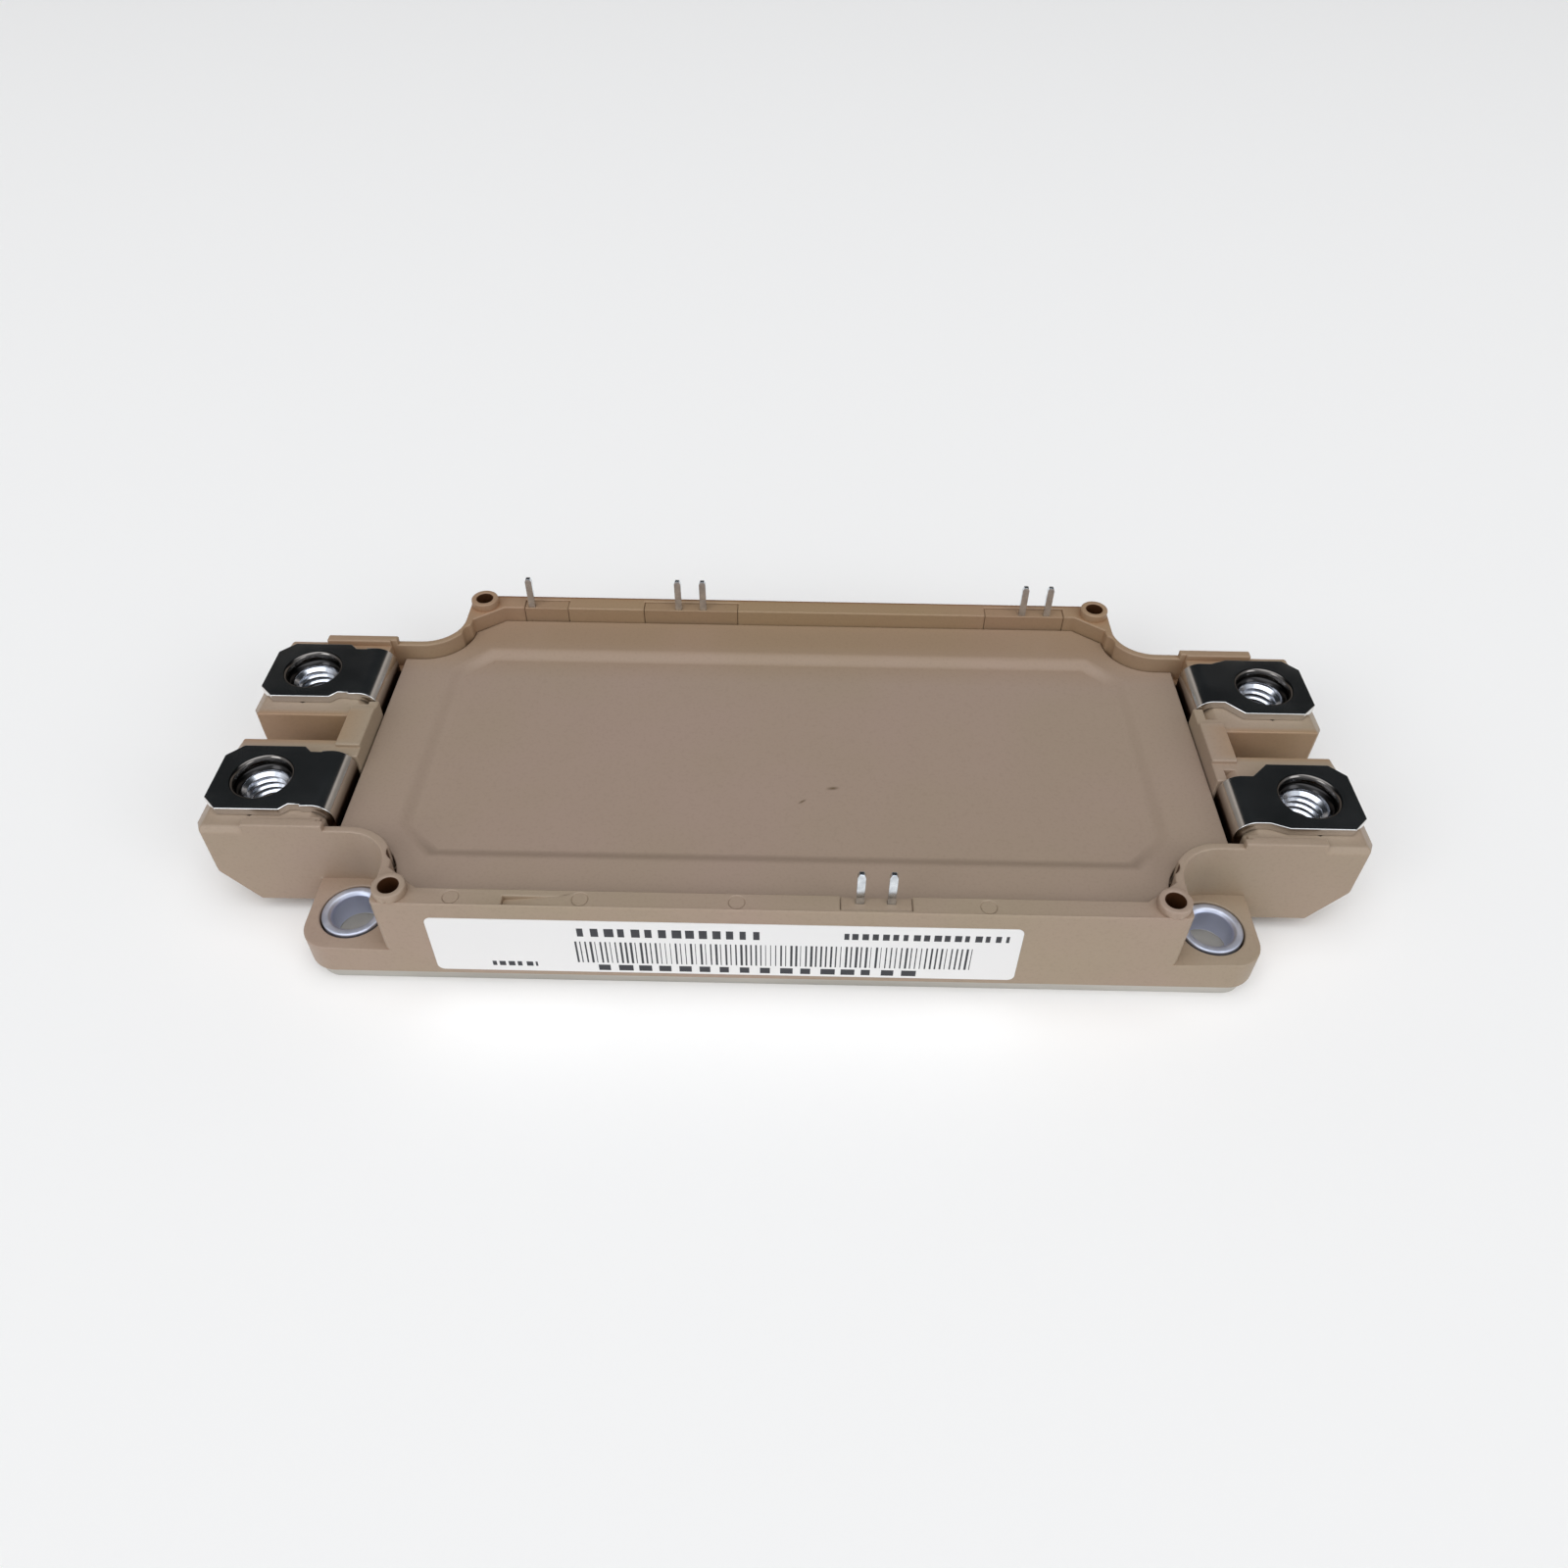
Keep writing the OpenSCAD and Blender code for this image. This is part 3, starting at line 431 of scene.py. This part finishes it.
# Screw collars: turned steel sleeves, zinc plated with a blue tint.
# They stand on the base plate inside the lugs and carry the load of the mounting screws.
COLLAR_BLUE = (0.52, 0.54, 0.62, 1.0)
COLLAR_PALE = (0.68, 0.70, 0.77, 1.0)
# Paler blue inside the bore is painted light
BORE_PAINTED_LIGHT = (0.64, 0.67, 0.80, 1.0)
BORE_MARGIN = 0.15 * MM
COLLAR_EDGE = 0.12 * MM


def blue_zinc_plate():
    """Dull blue zinc, painted paler and bluer inside the bore as painted light there."""
    material, tree, shader = start_finish("blue_zinc", metallic=1.0, roughness=0.5)
    plate = tones(tree, cloud(tree, scale=500, detail=5), COLLAR_BLUE, COLLAR_PALE)
    bore = mount_mask(tree, sink_screws, BORE_MARGIN)
    tree.links.new(blend(tree, bore, plate, BORE_PAINTED_LIGHT), shader.inputs["Base Color"])
    return material


blue_zinc = blue_zinc_plate()
for corner in ("front_left", "front_right", "back_left", "back_right"):
    collar = nodes[f"collar_{corner}"]
    dress(collar, blue_zinc)
    soften(collar, COLLAR_EDGE)


# Pin carriers and control pins: stamped pins of tin-plated bronze in small mouldings of the same
# tan plastic. The carriers slide into slots in the long walls from above.
CARRIER_WARM = (0.338, 0.240, 0.175, 1.0)
CARRIER_OLIVE = (0.319, 0.236, 0.160, 1.0)
CARRIER_EDGE = 0.1 * MM
TIN_BRIGHT = (0.80, 0.84, 0.87, 1.0)
TIN_DULL = (0.60, 0.63, 0.66, 1.0)
PIN_EDGE = 0.05 * MM
PINS = (
    "gate_pin_front", "emitter_pin_front", "collector_pin", "gate_pin_back",
    "emitter_pin_back", "sensor_pin_inner", "sensor_pin_outer",
)

carrier_plastic, carrier_tree, carrier_shader, carrier_colour = moulded_plastic(
    "carrier_plastic", CARRIER_WARM, CARRIER_OLIVE)
# Painted warm shade towards the back
carrier_colour = warm_shade_at_back(carrier_tree, carrier_colour)
carrier_tree.links.new(carrier_colour, carrier_shader.inputs["Base Color"])
for place in ("front", "back_left", "back_middle", "back_right"):
    carrier = nodes[f"pin_carrier_{place}"]
    dress(carrier, carrier_plastic)
    soften(carrier, CARRIER_EDGE)
tin_plate = two_tone("tin_plate", TIN_DULL, TIN_BRIGHT, metallic=1.0, roughness=0.2, scale=900)
for name in PINS:
    dress(nodes[name], tin_plate)
    soften(nodes[name], PIN_EDGE, segments=2)


# Lid: a thin moulding of the same plastic with a shallow sunk field, pressed on the housing's ledge.
# Two short scuffs mark its middle.
LID_WARM = (0.343, 0.246, 0.185, 1.0)
LID_OLIVE = (0.332, 0.244, 0.174, 1.0)
LID_EDGE = 0.2 * MM
# Painted shade along the back edge, beside the back wall, and where it begins and is full
LID_SHADE_TINT = (0.92, 0.85, 0.72, 1.0)
LID_SHADE_FROM_Y = 15 * MM
LID_SHADE_TO_Y = 23 * MM
# Scuffs: tint, height and depth, then the middle, half sizes and turn in degrees of each
SCUFF_BROWN = (0.11, 0.068, 0.032, 1.0)
SCUFF_Z = 12.5 * MM
SCUFF_DEPTH = 1.0 * MM
SCUFFS = (
    ((6.6 * MM, -6.8 * MM), (1.05 * MM, 0.42 * MM), 8),
    ((2.45 * MM, -9.4 * MM), (0.85 * MM, 0.26 * MM), 38),
)


def scuff_mask(tree, middle, half_size, degrees):
    """1 in the middle of a thin ellipse on the lid, falling to 0 at its edge."""
    place = tree.nodes.new("ShaderNodeTexCoord")
    shift = tree.nodes.new("ShaderNodeMapping")
    shift.vector_type = "TEXTURE"
    shift.inputs["Location"].default_value = (*middle, SCUFF_Z)
    shift.inputs["Rotation"].default_value = (0, 0, math.radians(degrees))
    shift.inputs["Scale"].default_value = (*half_size, SCUFF_DEPTH)
    ball = tree.nodes.new("ShaderNodeTexGradient")
    ball.gradient_type = "SPHERICAL"
    tree.links.new(place.outputs["Object"], shift.inputs["Vector"])
    tree.links.new(shift.outputs["Vector"], ball.inputs["Vector"])
    return ball.outputs["Fac"]


lid_plastic, lid_tree, lid_shader, lid_colour = moulded_plastic("lid_plastic", LID_WARM, LID_OLIVE)
# Painted shade towards the back edge
lid_back = fade(lid_tree, axis(lid_tree, "Y"), LID_SHADE_FROM_Y, LID_SHADE_TO_Y)
lid_colour = blend(lid_tree, lid_back, lid_colour, LID_SHADE_TINT, "MULTIPLY")
for middle, half_size, degrees in SCUFFS:
    scuff = scuff_mask(lid_tree, middle, half_size, degrees)
    lid_colour = blend(lid_tree, scuff, lid_colour, SCUFF_BROWN)
lid_tree.links.new(lid_colour, lid_shader.inputs["Base Color"])
lid = nodes["lid"]
dress(lid, lid_plastic)
soften(lid, LID_EDGE)


# Terminal nuts: cold-formed steel hexagons, zinc plated, loose in pockets of the terminal blocks.
# Each has a cut thread of one millimetre pitch.
ZINC_BRIGHT = (0.84, 0.85, 0.88, 1.0)
ZINC_DULL = (0.64, 0.66, 0.70, 1.0)
NUT_EDGE = 0.15 * MM
# Painted shade on the upper face and countersink, under the terminal sheet, and how deep it reaches
NUT_SHADE_TINT = (0.035, 0.033, 0.032, 1.0)
DARK_DEPTH = 0.55 * MM
# Thread: pitch, radii, half widths at root and crest, steps in a turn, and its end below the top
THREAD_PITCH = 1.0 * MM
THREAD_ROOT_R = 3.01 * MM
THREAD_CREST_R = 2.48 * MM
THREAD_HALF_ROOT = 0.45 * THREAD_PITCH
THREAD_HALF_CREST = 0.06 * MM
THREAD_STEPS = 40
THREAD_END = 0.35 * MM
BODY = "root"

nut_low, nut_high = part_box("terminal_nuts")


def zinc_nut():
    """Zinc plate that is bright in the thread, with painted shade at the nut's upper end."""
    material, tree, shader = start_finish("zinc_nut", metallic=1.0, roughness=0.2)
    shade_mask = arithmetic(tree, "GREATER_THAN", axis(tree, "Z"), nut_high.z - DARK_DEPTH)
    plate = tones(tree, cloud(tree, scale=600, detail=5), ZINC_DULL, ZINC_BRIGHT)
    tree.links.new(blend(tree, shade_mask, plate, NUT_SHADE_TINT), shader.inputs["Base Color"])
    return material


nuts = nodes["terminal_nuts"]
dress(nuts, zinc_nut())
soften(nuts, NUT_EDGE)


def cut_thread(ridge, x, y, low_z, high_z):
    """Adds one helical thread ridge to a mesh, between two heights."""
    profile = (
        (THREAD_ROOT_R, -THREAD_HALF_ROOT), (THREAD_CREST_R, -THREAD_HALF_CREST),
        (THREAD_CREST_R, THREAD_HALF_CREST), (THREAD_ROOT_R, THREAD_HALF_ROOT),
    )
    start_z = low_z + THREAD_HALF_ROOT
    turns = (high_z - low_z - 2 * THREAD_HALF_ROOT) / THREAD_PITCH
    steps = round(turns * THREAD_STEPS)
    first = [ridge.verts.new((x + r, y, start_z + z)) for r, z in profile]
    loop = [ridge.edges.new((first[i], first[i - 1])) for i in range(len(first))]
    swept = bmesh.ops.spin(
        ridge, geom=first + loop, cent=(x, y, 0), axis=(0, 0, 1), steps=steps,
        angle=math.tau * steps / THREAD_STEPS, dvec=(0, 0, THREAD_PITCH / THREAD_STEPS))
    last = [e for e in swept["geom_last"] if isinstance(e, bmesh.types.BMEdge)]
    bmesh.ops.contextual_create(ridge, geom=loop)
    bmesh.ops.contextual_create(ridge, geom=last)


def new_object(name, shape):
    """A new object from a finished bmesh, linked to the scene."""
    mesh = bpy.data.meshes.new(name)
    shape.to_mesh(mesh)
    shape.free()
    made = bpy.data.objects.new(name, mesh)
    bpy.context.scene.collection.objects.link(made)
    return made


threads = bmesh.new()
for end in ("left", "right"):
    for row in ("front", "back"):
        x, y, _ = record_mounts[f"terminal_screw_{row}_{end}"]["pos_m"]
        cut_thread(threads, x, y, nut_low.z, nut_high.z - THREAD_END)
bmesh.ops.recalc_face_normals(threads, faces=threads.faces)
nut_threads = new_object("nut_threads", threads)
bright_zinc = two_tone(
    "bright_zinc", ZINC_DULL, ZINC_BRIGHT, metallic=1.0, roughness=0.2, scale=600)
dress(nut_threads, bright_zinc)
nut_threads.modifiers.new("shading", "NODES").node_group = SMOOTH_FACES
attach(nut_threads, BODY)


# Main terminals: copper sheet, stamped, bent over the nuts and nickel plated to a bright mirror.
# Their feet are bonded to the circuit, and their edges are rounded by the stamping.
NICKEL_BRIGHT = (0.76, 0.74, 0.71, 1.0)
NICKEL_DULL = (0.63, 0.61, 0.58, 1.0)
TERMINAL_EDGE = 0.11 * MM
# Painted shade on the wall and rolled rim round each hole, which dims their reflections
HOLE_RIM_SHADE_TINT = (0.17, 0.155, 0.14, 1.0)
PUNCHED_R = 4.12 * MM
# Painted shade on the legs, low in the gap beside the lid, and the heights between which it clears
LEG_SHADE_TINT = (0.10, 0.065, 0.045, 1.0)
LEG_DARK_Z = 14.3 * MM
LEG_CLEAR_Z = 15.7 * MM


def bright_nickel():
    """Mirror nickel with a faint haze, with painted shade round the holes and on the legs."""
    material, tree, shader = start_finish("bright_nickel", metallic=1.0, roughness=0.12)
    haze = cloud(tree, scale=160, detail=5)
    plate = tones(tree, haze, NICKEL_DULL, NICKEL_BRIGHT)
    leg_shade_mask = fade(tree, axis(tree, "Z"), LEG_CLEAR_Z, LEG_DARK_Z)
    plate = blend(tree, leg_shade_mask, plate, LEG_SHADE_TINT)
    screw_x, screw_y, _ = record_mounts["terminal_screw_back_right"]["pos_m"]
    rim = hole_mask(tree, 2 * screw_x, 2 * screw_y, PUNCHED_R)
    tree.links.new(blend(tree, rim, plate, HOLE_RIM_SHADE_TINT), shader.inputs["Base Color"])
    tree.links.new(spread(tree, haze, low=0.11, high=0.19), shader.inputs["Roughness"])
    grain(tree, shader, cloud(tree, scale=700, detail=2), strength=0.06, depth=0.01 * MM)
    return material


mirror_plate = bright_nickel()
for kind in ("supply", "output"):
    for row in ("front", "back"):
        terminal = nodes[f"{kind}_terminal_{row}"]
        dress(terminal, mirror_plate)
        soften(terminal, TERMINAL_EDGE)


# Label: a white paper sticker with rounded corners on the front wall.
# It is printed in black with a row of plain bars and four rows of short dashes.
PAPER_WHITE = (0.80, 0.775, 0.745, 1.0)
INK_BLACK = (0.025, 0.025, 0.03, 1.0)
# Thinnest and widest stroke, as shares of the step from one stroke to the next
BAR_WIDTHS = (0.14, 0.52)
DASH_WIDTHS = (0.45, 0.75)
# Left, right, lower and upper edge of each printed row, the step of its strokes and their widths
PRINTED_ROWS = (
    ((-25.4 * MM, 23.8 * MM, 5.15 * MM, 9.4 * MM), 0.62 * MM, BAR_WIDTHS),
    ((-25.2 * MM, -2.0 * MM, 10.4 * MM, 12.0 * MM), 1.66 * MM, DASH_WIDTHS),
    ((7.8 * MM, 27.9 * MM, 10.8 * MM, 12.0 * MM), 1.25 * MM, DASH_WIDTHS),
    ((-36.2 * MM, -30.5 * MM, 4.2 * MM, 5.1 * MM), 1.14 * MM, DASH_WIDTHS),
    ((-23.4 * MM, 17.2 * MM, 3.6 * MM, 4.75 * MM), 2.54 * MM, DASH_WIDTHS),
)


def between(tree, value, low, high):
    """1 where a value lies between two others and 0 elsewhere; returns the mask's socket."""
    return arithmetic(tree, "MULTIPLY", arithmetic(tree, "GREATER_THAN", value, low),
                      arithmetic(tree, "LESS_THAN", value, high))


def strokes(tree, x, step, widths):
    """Upright strokes, one in each step along x, each as wide as a fixed noise makes it."""
    count = arithmetic(tree, "DIVIDE", x, step)
    noise = tree.nodes.new("ShaderNodeTexWhiteNoise")
    noise.noise_dimensions = "1D"
    tree.links.new(arithmetic(tree, "FLOOR", count), noise.inputs["W"])
    width = spread(tree, noise.outputs["Value"], *widths)
    return arithmetic(tree, "LESS_THAN", arithmetic(tree, "FRACT", count), width)


def printed_paper():
    """White paper with a fine grain, printed in black."""
    material, tree, shader = start_finish("printed_paper", metallic=0.0, roughness=0.55)
    x = axis(tree, "X")
    z = axis(tree, "Z")
    ink = 0.0
    for (left, right, low, high), step, widths in PRINTED_ROWS:
        across = between(tree, x, left, right)
        upright = between(tree, z, low, high)
        row = arithmetic(tree, "MULTIPLY", across, upright)
        marks = arithmetic(tree, "MULTIPLY", row, strokes(tree, x, step, widths))
        ink = arithmetic(tree, "ADD", ink, marks)
    tree.links.new(blend(tree, ink, PAPER_WHITE, INK_BLACK), shader.inputs["Base Color"])
    grain(tree, shader, cloud(tree, scale=1800, detail=5), strength=0.1, depth=0.01 * MM)
    return material


dress(nodes["rating_label"], printed_paper())


# Studio: a plain pale floor and a cool soft light from large lamps and a bright room in front.
# Behind the module the room is pale near the floor and dark above, as the bright terminals show.
FLOOR_HALF = 2.2
FLOOR_PALE = (0.97, 0.935, 0.88, 1.0)
FLOOR_GLOSS = 0.1
COOL_LIGHT = (0.94, 0.985, 1.06)
# Name, place, size and power of each lamp; every lamp faces the module
LAMPS = (
    ("lamp_above", (0.0, -0.35, 2.4), 2.8, 33.0),
    ("lamp_front_left", (-2.0, -1.9, 1.7), 1.7, 21.0),
    ("lamp_front_right", (2.1, -1.7, 1.5), 1.6, 16.0),
)
FRONT_BRIGHT = 0.62
WARM_WALL = (1.06, 0.98, 0.92)
COOL_DARK = (0.83, 1.0, 1.14)
# Sine of the height above the floor, tint and brightness at each stop of the room behind
BEHIND = (
    (0.0, WARM_WALL, 0.20),
    (0.25, WARM_WALL, 0.26),
    (0.43, WARM_WALL, 0.50),
    (0.50, COOL_DARK, 0.0165),
)
# How far the bright front and the dark back reach along Y, on the unit sphere
FRONT_TO = -0.25
BACK_FROM = 0.30
ROOM_SEEN = (0.96, 0.96, 0.96, 1.0)


def lit(tint, brightness):
    """A tint at a brightness."""
    return tuple(brightness * part for part in tint) + (1.0,)


floor_shape = bmesh.new()
bmesh.ops.create_grid(floor_shape, x_segments=1, y_segments=1, size=FLOOR_HALF)
floor = new_object("floor", floor_shape)
floor_finish, _, floor_shader = start_finish("floor_paint", metallic=0.0, roughness=0.8)
floor_shader.inputs["Base Color"].default_value = FLOOR_PALE
floor_shader.inputs["Specular IOR Level"].default_value = FLOOR_GLOSS
dress(floor, floor_finish)

for name, place, size, power in LAMPS:
    light = bpy.data.lights.new(name, "AREA")
    light.shape = "DISK"
    light.size = size
    light.energy = power
    light.color = COOL_LIGHT
    lamp = bpy.data.objects.new(name, light)
    lamp.location = place
    lamp.rotation_euler = (-Vector(place)).to_track_quat("-Z", "Y").to_euler()
    bpy.context.scene.collection.objects.link(lamp)

room = bpy.data.worlds.new("room")
bpy.context.scene.world = room
room.use_nodes = True
air = room.node_tree
way = air.nodes.new("ShaderNodeTexCoord")
axes = air.nodes.new("ShaderNodeSeparateXYZ")
air.links.new(way.outputs["Generated"], axes.inputs["Vector"])
behind = air.nodes.new("ShaderNodeValToRGB")
while len(behind.color_ramp.elements) < len(BEHIND):
    behind.color_ramp.elements.new(1.0)
for stop, (height, tint, brightness) in zip(behind.color_ramp.elements, BEHIND):
    stop.position = height
    stop.color = lit(tint, brightness)
air.links.new(axes.outputs["Z"], behind.inputs["Fac"])
backward = air.nodes.new("ShaderNodeMapRange")
backward.interpolation_type = "SMOOTHSTEP"
backward.inputs["From Min"].default_value = FRONT_TO
backward.inputs["From Max"].default_value = BACK_FROM
air.links.new(axes.outputs["Y"], backward.inputs["Value"])
front = lit(COOL_LIGHT, FRONT_BRIGHT)
around = blend(air, backward.outputs["Result"], front, behind.outputs["Color"])
seen = air.nodes.new("ShaderNodeLightPath")
shown = blend(air, seen.outputs["Is Camera Ray"], around, ROOM_SEEN)
air.links.new(shown, air.nodes["Background"].inputs["Color"])
bpy.context.scene.view_settings.view_transform = "Standard"


# Camera: a short lens above the front wall, slightly turned and tilted, as in the photograph.
# It looks down on the lid, with both pairs of terminals and the long front wall in view.
AIM = Vector((0.08, 1.42, 8.0)) * MM
AZIMUTH = math.radians(0.603)
ELEVATION = math.radians(44.346)
ROLL = math.radians(0.656)
DISTANCE = 169.09 * MM
LENS = 27.04
SENSOR = 36.0
SHIFT_X = -0.0011
SHIFT_Y = -0.0096

eye = bpy.data.cameras.new("camera")
eye.lens = LENS
eye.sensor_width = SENSOR
eye.shift_x = SHIFT_X
eye.shift_y = SHIFT_Y
eye.clip_start = MM
camera = bpy.data.objects.new("camera", eye)
tilt = Matrix.Rotation(AZIMUTH, 4, "Z") @ Matrix.Rotation(math.pi / 2 - ELEVATION, 4, "X")
away = tilt @ Vector((0, 0, DISTANCE))
camera.matrix_world = Matrix.Translation(AIM + away) @ tilt @ Matrix.Rotation(ROLL, 4, "Z")
bpy.context.scene.collection.objects.link(camera)
bpy.context.scene.camera = camera
